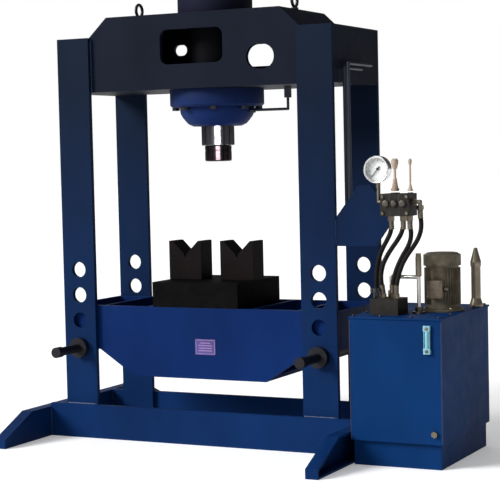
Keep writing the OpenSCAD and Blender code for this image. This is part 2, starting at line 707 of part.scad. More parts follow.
// Motor standing on the lid: flange, finned case and terminal box
module motor_body() color([0.3, 0.26, 0.22]) on_tank(motor_c) difference() {
    union() {
        cylinder(d = 200, h = motor_flange_t);
        translate([0, 0, 8]) cylinder(d = motor_d - 16, h = motor_h - 8);
        for (a = [0 : 30 : 330]) rotate(a) box([60, -2, 12], [motor_d / 2, 2, motor_h - 6]);
        box([-35, -motor_d / 2 - 24, 70], [35, -60, 150]);
    }
    translate([0, 0, -1]) cylinder(d = 36, h = motor_h + 2);
    translate([0, 0, 24]) cylinder(d = 116, h = motor_h - 48);
}
module motor_fan_cover() color([0.3, 0.27, 0.23]) on_tank(motor_c, motor_h) difference() {
    union() {
        cylinder(d = motor_d + 6, h = 50);
        translate([0, 0, 50]) cylinder(d1 = motor_d + 6, d2 = motor_d - 30, h = 10);
    }
    translate([0, 0, -1]) cylinder(d = motor_d, h = 47);
    for (r = [20 : 16 : 52]) translate([0, 0, 45]) difference() {
        cylinder(r = r + 5, h = 20);
        translate([0, 0, -1]) cylinder(r = r - 4, h = 22);
        for (a = [0, 90]) rotate(a) translate([-100, -5, -1]) cube([200, 10, 22]);
    }
}

// Shaft with its rotor core, fan and upper coupling half
module motor_rotor() color("silver") on_tank(motor_c) {
    translate([0, 0, -70]) cylinder(d = 28, h = motor_h + 100);
    translate([0, 0, 34]) cylinder(d = 110, h = motor_h - 68);
    translate([0, 0, motor_h + 8]) cylinder(d = 46, h = 20);
    for (a = [0 : 60 : 300]) rotate(a) translate([20, -2, motor_h + 8]) cube([54, 4, 24]);
    translate([0, 0, -95]) cylinder(d = 70, h = 50);
}

// Gear pump under its bell housing, with the suction pipe, hanging in the oil
module pump() color([0.6, 0.6, 0.62]) on_tank(motor_c, -lid_t) difference() {
    union() {
        translate([0, 0, -8]) cylinder(d = 160, h = 8);
        translate([0, 0, -140]) cylinder(d = 120, h = 140);
        translate([-50, -45, -260]) cube([100, 90, 121]);
        rod_z([0, 0, -440], 30, 181);
        rod_z([0, 0, -470], 76, 60);
    }
    translate([0, 0, -110]) cylinder(d = 96, h = 120);
    for (a = [0, 90]) rotate(a) translate([-100, -18, -90]) cube([200, 36, 60]);
}

// Block with the pressure line's valves
module manifold() color([0.25, 0.28, 0.25]) placed() difference() {
    box(manifold_low, manifold_low + manifold_size);
    rod_z([relief_c[0], relief_c[1], lid_z + 30], 18, 80);
}

// Star grip of the relief valve on its spindle
module relief_knob() color(black) on_tank(relief_c, manifold_size[2]) {
    translate([0, 0, -30]) cylinder(d = 17, h = 62);
    translate([0, 0, 30]) cylinder(d = 34, h = 18);
    for (a = [0 : 60 : 300]) rotate(a) translate([17, 0, 30]) cylinder(d = 12, h = 18);
}

// Stand pipe of the oil filler on its flange, and the breather cap
module filler_neck() color([0.6, 0.57, 0.5]) on_tank(filler_c) difference() {
    union() {
        cylinder(d = 68, h = 10);
        cylinder(d = 46, h = filler_h);
        translate([0, 0, 10]) cylinder(d1 = 64, d2 = 46, h = 30);
    }
    translate([0, 0, -1]) cylinder(d = 36, h = filler_h + 2);
}
module filler_cap() color([0.65, 0.61, 0.54]) on_tank(filler_c, filler_h + 0.3) {
    cylinder(d = 52, h = 26);
    translate([0, 0, 26]) cylinder(d1 = 50, d2 = 16, h = 64);
    translate([0, 0, -20]) cylinder(d = 34, h = 20);
}

// Points on a smooth curve through the route's points
function curve_point(p, i, t) =
    let (a = p[max(i - 1, 0)], b = p[i], c = p[i + 1], d = p[min(i + 2, len(p) - 1)])
    0.5 * (2 * b + (c - a) * t + (2 * a - 5 * b + 4 * c - d) * t * t + (3 * b - a - 3 * c + d) * t * t * t);
function curve(p, steps) = [
    for (i = [0 : len(p) - 2], k = [0 : steps - 1]) curve_point(p, i, k / steps), p[len(p) - 1],
];

// Ring of points around one point of a curve, across its direction
hose_sides = 10;
function ring(c, along, d) =
    let (u = along / norm(along), s = cross(u, [0, 1, 0]), v = s / norm(s), w = cross(v, u))
    [for (k = [0 : hose_sides - 1]) c + d / 2 * (cos(k * 36) * v + sin(k * 36) * w)];

// Round tube along a route, with flat ends
module hose(path, d) {
    line = curve(path, 2);
    last = len(line) - 1;
    rings = [for (i = [0 : last]) ring(
        line[i], i == 0 || i == last ? [0, 0, -1] : line[i + 1] - line[i - 1], d)];
    faces = concat(
        [[for (k = [0 : hose_sides - 1]) k]],
        [for (i = [0 : last - 1], k = [0 : hose_sides - 1])
            let (n = (k + 1) % hose_sides, o = i * hose_sides)
            [o + k, o + hose_sides + k, o + hose_sides + n, o + n]],
        [[for (k = [hose_sides - 1 : -1 : 0]) last * hose_sides + k]]);
    polyhedron([for (r = rings) each r], faces);
}
module hose_supply() color(black) placed() hose(supply_path, hose_d);
module hose_lift() color(black) placed() hose(lift_path, hose_d);
module hose_return() color(black) placed() hose(return_path, hose_d);
module hose_drain() color(black) placed() hose(drain_path, hose_d);

upright_front_left();
upright_front_right();
upright_rear_left();
upright_rear_right();
crown_front_plate();
crown_rear_plate();
crown_top_plate();
crown_bottom_plate();
crown_cheek_left();
crown_cheek_right();
lifting_eyebolts();
base_beam_front();
base_beam_rear();
foot_left();
foot_right();
bed_front_plate();
bed_rear_plate();
bed_cross_members();
bed_seats();
bed_nameplate();
bolster_block();
v_block_left();
v_block_right();
support_pin_left();
support_pin_right();
cylinder_barrel();
cylinder_flange();
cylinder_gland();
cylinder_head();
cylinder_bolts();
rod_wiper();
piston();
ram_rod();
ram_nose();
rigid_pipes();
valve_bracket();
valve_body();
valve_lever();
lever_knob();
approach_lever();
hydraulic_fittings();
gauge_case();
gauge_dial();
gauge_needle();
gauge_lens();
tank();
tank_lid();
level_gauge();
motor_body();
motor_fan_cover();
motor_rotor();
pump();
manifold();
relief_knob();
filler_neck();
filler_cap();
hose_supply();
hose_lift();
hose_return();
hose_drain();
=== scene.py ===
"""Looks of the hydraulic shop press: materials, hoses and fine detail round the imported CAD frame."""

import math

import bpy
from mathutils import Matrix, Vector

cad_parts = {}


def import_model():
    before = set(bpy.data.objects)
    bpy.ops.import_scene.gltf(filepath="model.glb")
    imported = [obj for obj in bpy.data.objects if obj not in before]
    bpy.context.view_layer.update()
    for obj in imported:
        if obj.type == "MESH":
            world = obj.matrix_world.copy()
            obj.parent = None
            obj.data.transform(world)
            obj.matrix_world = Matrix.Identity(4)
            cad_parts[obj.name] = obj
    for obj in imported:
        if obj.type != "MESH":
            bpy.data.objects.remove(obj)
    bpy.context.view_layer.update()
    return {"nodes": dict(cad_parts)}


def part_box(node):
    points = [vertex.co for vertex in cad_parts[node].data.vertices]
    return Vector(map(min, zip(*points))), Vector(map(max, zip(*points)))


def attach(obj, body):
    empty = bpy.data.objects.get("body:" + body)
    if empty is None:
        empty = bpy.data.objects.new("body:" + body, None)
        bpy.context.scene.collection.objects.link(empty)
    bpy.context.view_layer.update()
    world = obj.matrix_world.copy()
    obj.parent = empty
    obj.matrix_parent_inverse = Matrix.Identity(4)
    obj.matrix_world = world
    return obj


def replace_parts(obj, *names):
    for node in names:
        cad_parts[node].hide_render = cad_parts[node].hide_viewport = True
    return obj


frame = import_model()
nodes = frame["nodes"]


def middle(node):
    """Centre of a CAD node's box."""
    low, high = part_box(node)
    return (low + high) / 2


# The press's own centre line: places that part.scad states from it are shifted by this much
PRESS_X = middle("cylinder_barrel").x


def at(x, y, z):
    """A place given in metres from the press's centre line."""
    return Vector((x + PRESS_X, y, z))


# ---------------------------------------------------------------- materials

# Sockets of a Mix node that mixes colours
MIX_A, MIX_B, MIX_RESULT = 6, 7, 2

SOOT = (0.010, 0.010, 0.011)
RUST = (0.09, 0.04, 0.018)


class Material:
    """A principled material with small helpers for its nodes."""

    def __init__(self, name, color, roughness=0.5, metallic=0.0, **sockets):
        self.data = bpy.data.materials.new(name)
        self.data.use_nodes = True
        self.tree = self.data.node_tree
        self.shader = self.tree.nodes["Principled BSDF"]
        self.color = color
        self.shader.inputs["Base Color"].default_value = (*color, 1)
        self.shader.inputs["Roughness"].default_value = roughness
        self.shader.inputs["Metallic"].default_value = metallic
        for socket, value in sockets.items():
            self.shader.inputs[socket.replace("_", " ")].default_value = value
        self.place = self.node("TexCoord").outputs["Object"]

    def node(self, kind, **values):
        made = self.tree.nodes.new("ShaderNode" + kind)
        for key, value in values.items():
            made.inputs[key].default_value = value
        return made

    def link(self, output, socket):
        self.tree.links.new(output, socket)

    def noise(self, scale, detail=4.0, stretch=(1, 1, 1), roughness=0.55):
        """Noise over the object's own coordinates, stretched along the axes."""
        mapping = self.node("Mapping")
        mapping.inputs["Scale"].default_value = stretch
        self.link(self.place, mapping.inputs["Vector"])
        made = self.node("TexNoise", Scale=scale, Detail=detail, Roughness=roughness)
        self.link(mapping.outputs["Vector"], made.inputs["Vector"])
        return made.outputs["Fac"]

    def ramp(self, factor, low, high, dark, light):
        """Maps a factor between low and high to two colours."""
        made = self.node("ValToRGB")
        ends = made.color_ramp.elements
        ends[0].position, ends[1].position = low, high
        ends[0].color, ends[1].color = (*dark, 1), (*light, 1)
        self.link(factor, made.inputs["Fac"])
        return made.outputs["Color"]

    def constant(self, color):
        """A colour as an output, to be mixed with others."""
        made = self.node("RGB")
        made.outputs[0].default_value = (*color, 1)
        return made.outputs[0]

    def mix(self, factor, a, b):
        """Mixes two colour outputs by a factor output."""
        made = self.node("Mix")
        made.data_type = "RGBA"
        self.link(factor, made.inputs["Factor"])
        self.link(a, made.inputs[MIX_A])
        self.link(b, made.inputs[MIX_B])
        return made.outputs[MIX_RESULT]

    def multiply(self, a, b):
        """Product of two colour outputs."""
        made = self.node("Mix")
        made.data_type, made.blend_type = "RGBA", "MULTIPLY"
        made.inputs["Factor"].default_value = 1.0
        self.link(a, made.inputs[MIX_A])
        self.link(b, made.inputs[MIX_B])
        return made.outputs[MIX_RESULT]

    def tint(self, factor, amount, low=0.35, high=0.65):
        """Base colour that varies by amount about the material's colour."""
        dark = [c * (1 - amount) for c in self.color]
        light = [min(1, c * (1 + amount)) for c in self.color]
        out = self.ramp(factor, low, high, dark, light)
        self.link(out, self.shader.inputs["Base Color"])
        return out

    def rough(self, factor, low, high):
        """Roughness that follows a factor."""
        made = self.node("MapRange")
        made.inputs["To Min"].default_value = low
        made.inputs["To Max"].default_value = high
        self.link(factor, made.inputs["Value"])
        self.link(made.outputs["Result"], self.shader.inputs["Roughness"])

    def bump(self, factor, depth, strength=0.4):
        """Surface relief in metres from a factor."""
        made = self.node("Bump", Strength=strength, Distance=depth)
        self.link(factor, made.inputs["Height"])
        self.link(made.outputs["Normal"], self.shader.inputs["Normal"])


def paint(name, low, high, from_z=0.3, to_z=1.9):
    """Dark workshop enamel that goes from the low colour to the high one between two heights, in metres.

    It has orange peel, uneven gloss and soot in patches.
    """
    m = Material(name, low, 0.5, Specular_IOR_Level=0.05)
    height = m.node("SeparateXYZ")
    m.link(m.place, height.inputs["Vector"])
    rise = m.node("MapRange", **{"From Min": from_z, "From Max": to_z})
    m.link(height.outputs["Z"], rise.inputs["Value"])
    # Blend by height from the low colour to the high one; on the barrel the dark low colour is painted shade
    # for the inside of the closed crown
    height_blend = m.mix(rise.outputs["Result"], m.constant(low), m.constant(high))
    worn = m.ramp(m.noise(2.2, 6, (1, 1, 0.5)), 0.35, 0.65, (0.78, 0.78, 0.80), (1.15, 1.15, 1.12))
    sooty = m.ramp(m.noise(9, 10, (1, 1, 0.35), 0.7), 0.60, 0.80, (0, 0, 0), (0.5, 0.5, 0.5))
    m.link(m.mix(sooty, m.multiply(height_blend, worn), m.constant(SOOT)), m.shader.inputs["Base Color"])
    m.rough(m.noise(14, 5), 0.42, 0.66)
    m.bump(m.noise(420, 3), 0.0004, 0.3)
    return m.data


def machined(name, color, roughness, metallic=1.0, stretch=(1, 1, 12), grain=70, spots=0.0, **sockets):
    """Bare metal with a direction of machining and faint stains."""
    m = Material(name, color, roughness, metallic, **sockets)
    base = m.tint(m.noise(6, 8), 0.22)
    if spots:
        where = m.ramp(m.noise(16, 9, roughness=0.7), 0.56, 0.72, (0, 0, 0), (spots,) * 3)
        m.link(m.mix(where, base, m.constant(RUST)), m.shader.inputs["Base Color"])
    lines = m.noise(grain, 4, stretch)
    m.rough(lines, roughness * 0.75, min(1, roughness * 1.3))
    m.bump(lines, 0.0002, 0.3)
    return m.data


def cast(name, color, roughness=0.6, metallic=0.3, **sockets):
    """Rough cast or phosphated metal with a coarse grain."""
    m = Material(name, color, roughness, metallic, **sockets)
    m.tint(m.noise(24, 8, roughness=0.7), 0.35)
    m.rough(m.noise(40, 4), roughness * 0.8, min(1, roughness * 1.25))
    m.bump(m.noise(900, 5), 0.0005, 0.45)
    return m.data


def plastic(name, color, roughness=0.45, **sockets):
    """Moulded plastic with a faint mottle."""
    m = Material(name, color, roughness, **sockets)
    m.tint(m.noise(30, 4), 0.08)
    m.rough(m.noise(60, 3), roughness * 0.85, roughness * 1.2)
    m.bump(m.noise(1400, 2), 0.0001, 0.25)
    return m.data


def rubber(name, color):
    """Hose cover with the weave of its wrapping cloth."""
    m = Material(name, color, 0.62, Specular_IOR_Level=0.15)
    m.tint(m.noise(35, 6), 0.4)
    wrap = m.node("TexWave", Scale=300.0, Distortion=1.5, Detail=2.0)
    wrap.bands_direction = "DIAGONAL"
    m.link(m.place, wrap.inputs["Vector"])
    m.bump(wrap.outputs["Fac"], 0.0004, 0.4)
    m.rough(m.noise(60, 4), 0.5, 0.75)
    return m.data


def clear(name, color, roughness=0.05):
    """Clear glass or plastic, slightly smeared."""
    m = Material(name, color, roughness, Transmission_Weight=1.0, IOR=1.45, Alpha=0.35)
    m.tint(m.noise(12, 4), 0.05)
    m.rough(m.noise(20, 4), 0.02, 0.12)
    return m.data


BLUE = paint("paint_frame", (0.0016, 0.0165, 0.0720), (0.0038, 0.0092, 0.0220))
BLUE_LOW = paint("paint_base", (0.0016, 0.0185, 0.0830), (0.0016, 0.0160, 0.0740))
BLUE_CROWN = paint("paint_crown", (0.0050, 0.0090, 0.0240), (0.0050, 0.0075, 0.0160))
BLUE_CYLINDER = paint("paint_cylinder", (0.0070, 0.0210, 0.0980), (0.0070, 0.0130, 0.0420), 1.66, 1.82)
# Barrel and cylinder head: very dark below 2.1 m as painted shade for the inside of the closed crown,
# lighter above it
BARREL_PAINTED_SHADE = paint("barrel_painted_shade", (0.0022, 0.0022, 0.0040), (0.0120, 0.0125, 0.0280), 2.1, 2.2)
BLUE_TANK = paint("paint_tank", (0.0010, 0.0240, 0.1020), (0.0010, 0.0215, 0.0920))
BLUE_BED = paint("paint_bed", (0.0014, 0.0165, 0.0920), (0.0014, 0.0150, 0.0830))
BLACK = cast("blackened_steel", (0.0030, 0.0030, 0.0032), 0.7, 0.0, Specular_IOR_Level=0.03)
BLOCK = machined("block_steel", (0.0060, 0.0042, 0.0045), 0.6, 0.0, (1, 1, 8), 60, 0.08,
                 Specular_IOR_Level=0.05)
PIN = machined("pin_steel", (0.0070, 0.0070, 0.0110), 0.5, 0.0, (1, 14, 1), 60, 0.1,
               Specular_IOR_Level=0.2)
BOLT = machined("bolt_steel", (0.030, 0.030, 0.036), 0.4, 0.8)
PIPE = machined("pipe_paint", (0.0060, 0.0100, 0.0240), 0.45, 0.1, (1, 1, 1), 30)
STEEL = machined("bright_steel", (0.55, 0.53, 0.50), 0.28, 1.0)
ZINC = machined("zinc_plate", (0.20, 0.17, 0.13), 0.36, 1.0, (1, 1, 1), 40)
# The rod and the nose get near-black metal colours: painted dark reflection for the dark surroundings their
# edges mirror; the bright streak down them comes from the strip light
CHROME_PAINTED_DARK = machined("hard_chrome_painted_dark_reflection", (0.11, 0.11, 0.125), 0.16, 1.0, (1, 1, 30), 90)
NOSE_PAINTED_DARK = machined("turned_nose_painted_dark_reflection", (0.035, 0.026, 0.030), 0.16, 1.0, (1, 1, 30), 90)
CASE = machined("gauge_case_steel", (0.72, 0.72, 0.72), 0.22, 1.0, (1, 1, 1), 60)
ALUMINIUM = cast("cast_aluminium", (0.50, 0.50, 0.50), 0.45, 0.9)
PLATE = machined("plate_print", (0.055, 0.045, 0.200), 0.45, 0.2, (12, 1, 1), 80)
PLATE_MARK = plastic("plate_marks", (0.30, 0.16, 0.34))
VALVE = cast("valve_casting", (0.014, 0.012, 0.010), 0.55, 0.1, Specular_IOR_Level=0.2)
VALVE_LIGHT = cast("valve_cap", (0.060, 0.050, 0.040), 0.45, 0.4)
MOTOR = cast("motor_enamel", (0.105, 0.088, 0.058), 0.5, 0.1, Specular_IOR_Level=0.3)
FILLER = machined("filler_metal", (0.26, 0.22, 0.16), 0.42, 0.8, (1, 1, 1), 40)
GRIP = plastic("pale_grip", (0.36, 0.27, 0.20), 0.5)
DIAL = plastic("dial_white", (0.86, 0.86, 0.85), 0.4)
INK = plastic("dial_ink", (0.02, 0.02, 0.02), 0.5)
RED = plastic("dial_red", (0.55, 0.03, 0.02), 0.5)
KNOB = plastic("black_knob", (0.02, 0.02, 0.02), 0.35)
SEAL = plastic("seal_rubber", (0.02, 0.02, 0.02), 0.7)
TERMINAL = cast("terminal_box", (0.110, 0.085, 0.060), 0.5, 0.1, Specular_IOR_Level=0.3)
HOSE = rubber("hose_cover", (0.0050, 0.0036, 0.0032))
GLASS = clear("gauge_glass", (0.95, 0.97, 1.0))
SIGHT = plastic("sight_plastic", (0.22, 0.52, 0.60), 0.2, Transmission_Weight=0.15)
WELD = cast("painted_weld", (0.0030, 0.0190, 0.0800), 0.45, 0.1)

FINISH = {
    BLUE: ["upright_front_left", "upright_front_right", "upright_rear_left", "upright_rear_right",
           "valve_bracket"],
    BLUE_BED: ["bed_front_plate", "bed_rear_plate", "bed_cross_members"],
    BLUE_LOW: ["base_beam_front", "base_beam_rear", "foot_left", "foot_right"],
    BLUE_CROWN: ["crown_front_plate", "crown_rear_plate", "crown_top_plate", "crown_bottom_plate",
                 "crown_cheek_left", "crown_cheek_right"],
    BLUE_CYLINDER: ["cylinder_flange", "cylinder_gland"],
    BARREL_PAINTED_SHADE: ["cylinder_barrel", "cylinder_head"],
    BLUE_TANK: ["tank", "tank_lid"],
    BLACK: ["bolster_block"],
    NOSE_PAINTED_DARK: ["ram_nose"],
    BLOCK: ["v_block_left", "v_block_right"],
    PIN: ["support_pin_left", "support_pin_right"],
    BOLT: ["lifting_eyebolts", "cylinder_bolts"],
    STEEL: ["bed_seats", "piston", "motor_rotor"],
    PIPE: ["rigid_pipes"],
    CHROME_PAINTED_DARK: ["ram_rod"],
    PLATE: ["bed_nameplate"],
    VALVE: ["valve_body", "manifold"],
    ZINC: ["hydraulic_fittings"],
    CASE: ["gauge_case"],
    DIAL: ["gauge_dial"],
    INK: ["gauge_needle"],
    GLASS: ["gauge_lens"],
    MOTOR: ["motor_fan_cover"],
    ALUMINIUM: ["pump"],
    KNOB: ["relief_knob"],
    FILLER: ["filler_neck", "filler_cap"],
    GRIP: ["lever_knob", "approach_lever", "valve_lever"],
    SEAL: ["rod_wiper"],
}

# Edges of plates and blocks are eased by these radii, in metres
EASED = {0.002: (FINISH[BLUE] + FINISH[BLUE_LOW] + FINISH[BLUE_BED] + FINISH[BLUE_TANK] + FINISH[BLACK]
                 + FINISH[BLOCK]),
         0.0015: FINISH[BLUE_CROWN] + FINISH[BLUE_CYLINDER] + FINISH[BARREL_PAINTED_SHADE] + FINISH[PIN],
         0.001: FINISH[VALVE] + ["bed_nameplate", "relief_knob", "gauge_case", "filler_cap"]}

for material, names in FINISH.items():
    for name in names:
        nodes[name].data.materials.clear()
        nodes[name].data.materials.append(material)


def part_finish(name, material, chosen):
    """Gives the faces of a CAD node whose middles are chosen a second material."""
    mesh = nodes[name].data
    mesh.materials.append(material)
    for polygon in mesh.polygons:
        if chosen(polygon.center):
            polygon.material_index = len(mesh.materials) - 1


# The pump's outlet pipe, under this height, is bare steel
OUTLET_PIPE_TOP = 1.0
# The fittings at the cylinder, over this height, are painted with its pipes
CYLINDER_FITTINGS_FROM = 1.6
part_finish("rigid_pipes", STEEL, lambda c: c.z < OUTLET_PIPE_TOP)
part_finish("hydraulic_fittings", PIPE, lambda c: c.z > CYLINDER_FITTINGS_FROM)


def bevel(obj, radius, over):
    """Rounds an object's edges that turn by more than this many degrees."""
    made = obj.modifiers.new("ease", "BEVEL")
    made.width, made.segments = radius, 2
    made.limit_method, made.angle_limit = "ANGLE", math.radians(over)


def ease(obj, radius):
    """Rounds a CAD node's sharp edges, after joining the points that its faces share."""
    obj.modifiers.new("join", "WELD").merge_threshold = 0.00002
    bevel(obj, radius, 40)


for radius, names in EASED.items():
    for name in names:
        ease(nodes[name], radius)


# ---------------------------------------------------------------- mesh helpers

# Ways a turned piece's axis points: up, to the right, and to the front
ALONG_Z = Matrix.Identity(3)
ALONG_X = Matrix.Rotation(math.pi / 2, 3, "Y")
ALONG_FRONT = Matrix.Rotation(math.pi / 2, 3, "X")

# Edges of made pieces that turn by more than this many degrees are shaded sharp, or eased
SHARP = 35


def band(i, j, sides):
    """Faces that join ring i of a turned or swept piece to ring j."""
    return [(i * sides + k, i * sides + (k + 1) % sides, j * sides + (k + 1) % sides, j * sides + k)
            for k in range(sides)]


def caps(last, sides):
    """Faces that close the first ring and the last one."""
    return [list(range(sides))[::-1], [last * sides + k for k in range(sides)]]


def rings(profile, place, turn, sides):
    """Rings of points, one for each (radius, height) of the profile, about the turn matrix's Z."""
    points = []
    for r, h in profile:
        for k in range(sides):
            a = 2 * math.pi * k / sides
            points.append(Vector(place) + turn @ Vector((r * math.cos(a), r * math.sin(a), h)))
    return points


class Build:
    """Collects faces of one piece, then makes it into an object that rides on a body."""

    def __init__(self):
        self.points, self.faces, self.marks = [], [], []

    def add(self, points, faces, mark=0):
        first = len(self.points)
        self.points += [tuple(p) for p in points]
        self.faces += [[first + i for i in face] for face in faces]
        self.marks += [mark] * len(faces)

    def box(self, low, high, mark=0):
        (a, b, c), (d, e, f) = low, high
        self.add([(a, b, c), (d, b, c), (d, e, c), (a, e, c), (a, b, f), (d, b, f), (d, e, f), (a, e, f)],
                 [(3, 2, 1, 0), (4, 5, 6, 7), (0, 1, 5, 4), (1, 2, 6, 5), (2, 3, 7, 6), (3, 0, 4, 7)], mark)

    def lathe(self, profile, place, turn=ALONG_Z, sides=32, mark=0):
        """A closed turned solid: profile lists (radius, height) from end to end, on the turn matrix's Z."""
        last = len(profile) - 1
        faces = [face for i in range(last) for face in band(i, i + 1, sides)]
        self.add(rings(profile, place, turn, sides), faces + caps(last, sides), mark)

    def bead(self, a, b, radius, normal, mark=0):
        """A weld bead from a to b: a half-round with the ripples of each pass."""
        a, b, normal = Vector(a), Vector(b), Vector(normal).normalized()
        along = (b - a).normalized()
        across = along.cross(normal).normalized()
        count = max(4, int((b - a).length / 0.008))
        points, sides = [], 6  # the bead's section is a hexagon
        for i in range(count + 1):
            r = radius * (1 + 0.14 * math.sin(i * 2.4) + 0.08 * math.sin(i * 1.1))
            r = 0.3 * radius if i in (0, count) else r
            centre = a + (b - a) * (i / count)
            for k in range(sides):
                t = 2 * math.pi * k / sides
                points.append(centre + r * (math.cos(t) * normal + math.sin(t) * across))
        faces = [face for i in range(count) for face in band(i, i + 1, sides)]
        self.add(points, faces + caps(count, sides), mark)

    def made(self, name, body, slot, materials, eased=0.0, smooth=True):
        """The collected faces as one object, each face with the material its mark counts to."""
        mesh = bpy.data.meshes.new(name)
        mesh.from_pydata(self.points, [], self.faces)
        for material in materials:
            mesh.materials.append(material)
        for polygon, mark in zip(mesh.polygons, self.marks):
            polygon.material_index = mark
            polygon.use_smooth = smooth
        mesh.validate()
        obj = bpy.data.objects.new(name, mesh)
        bpy.context.scene.collection.objects.link(obj)
        if eased:
            bevel(obj, eased, SHARP)
        if smooth:
            obj.modifiers.new("edges", "EDGE_SPLIT").split_angle = math.radians(SHARP)
        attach(obj, body)
        return obj


def hexagon_head(build, place, across, height):
    """Bolt head with its chamfer, and the washer under it."""
    r = across / 2 / math.cos(math.radians(30))
    washer, washer_top, chamfer = across * 0.62, 0.0025, 0.002
    build.lathe([(washer, 0), (washer, washer_top)], place, sides=24)
    build.lathe([(r, washer_top), (r, height - chamfer), (r * 0.88, height)], place, sides=6)


# ---------------------------------------------------------------- hoses


def smooth_line(points, steps=6):
    """Points on a smooth curve through the route's points."""
    line = []
    for i in range(len(points) - 1):
        a, b = points[max(i - 1, 0)], points[i]
        c, d = points[i + 1], points[min(i + 2, len(points) - 1)]
        for k in range(steps):
            t = k / steps
            line.append(0.5 * (2 * b + (c - a) * t + (2 * a - 5 * b + 4 * c - d) * t ** 2
                               + (3 * b - a - 3 * c + d) * t ** 3))
    return line + [points[-1]]


HOSE_D = 0.022
# Each hose's way from the valve down to the manifold or the lid, in metres from the press's centre line
HOSE_ROUTES = {
    "hose_supply": [
        (1.233, -0.346, 1.188), (1.234, -0.346, 1.160), (1.238, -0.349, 1.124), (1.237, -0.356, 1.088),
        (1.226, -0.365, 1.052), (1.207, -0.374, 1.018), (1.184, -0.382, 0.984), (1.162, -0.390, 0.945),
        (1.147, -0.396, 0.905), (1.137, -0.401, 0.865), (1.131, -0.404, 0.828), (1.130, -0.405, 0.798)],
    "hose_lift": [
        (1.181, -0.346, 1.136), (1.182, -0.346, 1.112), (1.185, -0.344, 1.080), (1.180, -0.342, 1.045),
        (1.165, -0.343, 1.010), (1.144, -0.347, 0.975), (1.126, -0.353, 0.938), (1.112, -0.360, 0.900),
        (1.102, -0.367, 0.860), (1.098, -0.371, 0.825), (1.098, -0.372, 0.798)],
    "hose_return": [
        (1.148, -0.346, 1.136), (1.147, -0.346, 1.112), (1.139, -0.349, 1.080), (1.120, -0.355, 1.045),
        (1.096, -0.362, 1.010), (1.073, -0.370, 0.972), (1.056, -0.378, 0.932), (1.049, -0.386, 0.892),
        (1.051, -0.393, 0.855), (1.058, -0.397, 0.823), (1.062, -0.398, 0.798)],
    "hose_drain": [
        (1.088, -0.346, 1.136), (1.088, -0.346, 1.112), (1.082, -0.344, 1.082), (1.065, -0.339, 1.050),
        (1.043, -0.333, 1.016), (1.022, -0.326, 0.978), (1.007, -0.320, 0.935), (0.998, -0.315, 0.890),
        (0.994, -0.311, 0.845), (0.994, -0.310, 0.800), (0.994, -0.310, 0.758)],
}


def ferrules(name, line):
    """Crimped sleeves at a hose's two ends, with their crimp marks."""
    build = Build()
    for end, inward in ((line[0], line[3] - line[0]), (line[-1], line[-4] - line[-1])):
        turn = inward.to_track_quat("Z", "Y").to_matrix()
        r = HOSE_D / 2 + 0.0025
        profile = [(r * 0.8, 0.0003), (r, 0.002)]
        for k in range(4):
            low = 0.004 + k * 0.008
            profile += [(r, low), (r - 0.0015, low + 0.002), (r - 0.0015, low + 0.005), (r, low + 0.007)]
        profile += [(r, 0.038), (r * 0.84, 0.040)]
        build.lathe(profile, end, turn, 20)
    return build.made(name + "_ferrules", "frame", "zinc_steel", [ZINC])


def hose(name, route):
    """A hose's cover along its route, with a ferrule at each end, in place of its CAD node."""
    line = smooth_line([at(*point) for point in route])
    curve = bpy.data.curves.new(name + "_cover", "CURVE")
    curve.dimensions = "3D"
    curve.bevel_depth = HOSE_D / 2
    curve.bevel_resolution = 5
    curve.use_fill_caps = True
    spline = curve.splines.new("POLY")
    spline.points.add(len(line) - 1)
    for point, place in zip(spline.points, line):
        point.co = (*place, 1)
    curve.materials.append(HOSE)
    cover = bpy.data.objects.new(name + "_cover", curve)
    bpy.context.scene.collection.objects.link(cover)
    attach(cover, "frame")
    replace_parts(cover, name)
    ferrules(name, line)


for name, route in HOSE_ROUTES.items():
    hose(name, route)


# ---------------------------------------------------------------- pressure gauge

gauge = middle("gauge_case")
case_low, case_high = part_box("gauge_case")
gauge_r = (case_high.x - case_low.x) / 2
dial_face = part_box("gauge_dial")[0].y

# Height of ticks and printed marks over the face they are on
RAISED = 0.0006
# The dial's scale: its steps, how many of them lie between long ticks, and the last tick that isn't red
STEPS, LONG_EVERY, RED_AFTER = 40, 5, 34
SWEEP = 270  # degrees from the first tick to the last


def gauge_scale():
    """Ticks round the dial, the last of them red."""
    build = Build()
    outer = gauge_r * 0.82
    for k in range(STEPS + 1):
        major = k % LONG_EVERY == 0
        inner = gauge_r * (0.66 if major else 0.74)
        half = 0.0011 if major else 0.0005
        angle = math.radians(-SWEEP / 2 + k * SWEEP / STEPS)
        out = Vector((math.sin(angle), 0, math.cos(angle)))
        side = Vector((math.cos(angle), 0, -math.sin(angle)))
        corners = []
        for y in (dial_face - RAISED, dial_face):
            for r, s in ((inner, -half), (outer, -half), (outer, half), (inner, half)):
                place = gauge + out * r + side * s
                corners.append((place.x, y, place.z))
        faces = [(0, 1, 2, 3), (7, 6, 5, 4), (0, 4, 5, 1), (1, 5, 6, 2), (2, 6, 7, 3), (3, 7, 4, 0)]
        build.add(corners, faces, 1 if k > RED_AFTER else 0)
    build.made("gauge_scale", "frame", "needle_black", [INK, RED], smooth=False)


def gauge_bezel():
    """Rolled rim round the front of the gauge's case."""
    build = Build()
    place = (gauge.x, case_low.y + 0.006, gauge.z)
    section = [(gauge_r - 0.0055, 0.0), (gauge_r + 0.0035, 0.0), (gauge_r + 0.0045, 0.003),
               (gauge_r + 0.0035, 0.007), (gauge_r, 0.0095), (gauge_r - 0.004, 0.0085),
               (gauge_r - 0.0055, 0.006)]
    sides = 64
    faces = [face for i in range(len(section)) for face in band(i, (i + 1) % len(section), sides)]
    build.add(rings(section, place, ALONG_FRONT, sides), faces)
    build.made("gauge_bezel", "frame", "case_steel", [CASE])


gauge_scale()
gauge_bezel()


# ---------------------------------------------------------------- power pack


